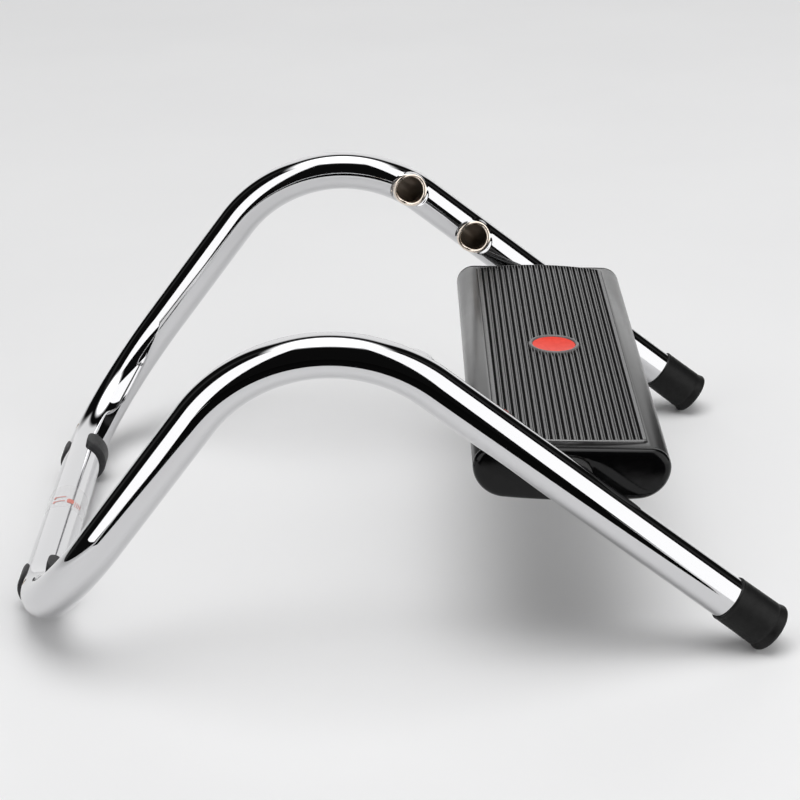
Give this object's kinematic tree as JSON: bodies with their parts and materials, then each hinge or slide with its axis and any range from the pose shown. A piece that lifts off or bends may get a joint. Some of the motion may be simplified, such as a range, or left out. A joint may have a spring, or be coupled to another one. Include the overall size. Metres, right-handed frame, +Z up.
{
  "type": "footrest",
  "caption": "Under-desk footrest: a bent chromed tube frame on rubber feet, with a ribbed platform that tilts on spring-loaded pivot pins.",
  "frame": {"origin": "on the floor, under the middle of the object's box", "axes": "+X from the crossbar towards the leg caps, +Y from the near leg to the far leg, +Z up"},
  "size_m": [0.4452, 0.3828, 0.1962],
  "materials": {
    "chrome_tube": "polished",
    "cap_rubber": "matte",
    "clip_rubber": "matte",
    "clear_film": "glossy film",
    "shell_black": "satin",
    "end_cap_black": "gloss",
    "tread_rubber": "satin",
    "bezel_grey": "satin",
    "badge_red": "gloss",
    "guide_plastic": "matte",
    "washer_rubber": "matte",
    "pin_steel": "turned",
    "spring_steel": "drawn wire",
    "screw_steel": "zinc plated",
    "tab_black": "matte"
  },
  "bodies": {
    "frame": {"frame_tube": "chrome_tube", "leg_cap_near": "cap_rubber", "leg_cap_far": "cap_rubber", "crossbar_foot_near": "clip_rubber", "crossbar_foot_far": "clip_rubber", "crossbar_label": "clear_film"},
    "platform": {"platform_shell": "shell_black", "platform_cap_near": "end_cap_black", "platform_cap_far": "end_cap_black", "tread_mat": "tread_rubber", "badge_bezel": "bezel_grey", "badge_disc": "badge_red", "pin_guide_near": "guide_plastic", "pin_guide_far": "guide_plastic", "guide_screws": "screw_steel", "friction_washer_near": "washer_rubber", "friction_washer_far": "washer_rubber", "pin_spring_near": "spring_steel", "pin_spring_far": "spring_steel"},
    "pin_near": {"pivot_pin_near": "pin_steel", "release_tab_near": "tab_black", "tab_screw_near": "screw_steel"},
    "pin_far": {"pivot_pin_far": "pin_steel", "release_tab_far": "tab_black", "tab_screw_far": "screw_steel"}
  },
  "joints": [
    {"name": "platform_tilt", "type": "hinge", "parent": "frame", "child": "platform", "pos_m": [0.10364, 0, 0.10121], "axis": [0, 1, 0], "range_deg": [-33, 27]},
    {"name": "pin_near_slide", "type": "slide", "parent": "platform", "child": "pin_near", "axis": [0, 1, 0], "range_m": [0, 0.01], "stiffness_N_per_m": 1500, "springref_m": -0.004, "deforming": ["pin_spring_near"]},
    {"name": "pin_far_slide", "type": "slide", "parent": "platform", "child": "pin_far", "axis": [0, -1, 0], "range_m": [0, 0.01], "stiffness_N_per_m": 1500, "springref_m": -0.004, "deforming": ["pin_spring_far"]}
  ]
}
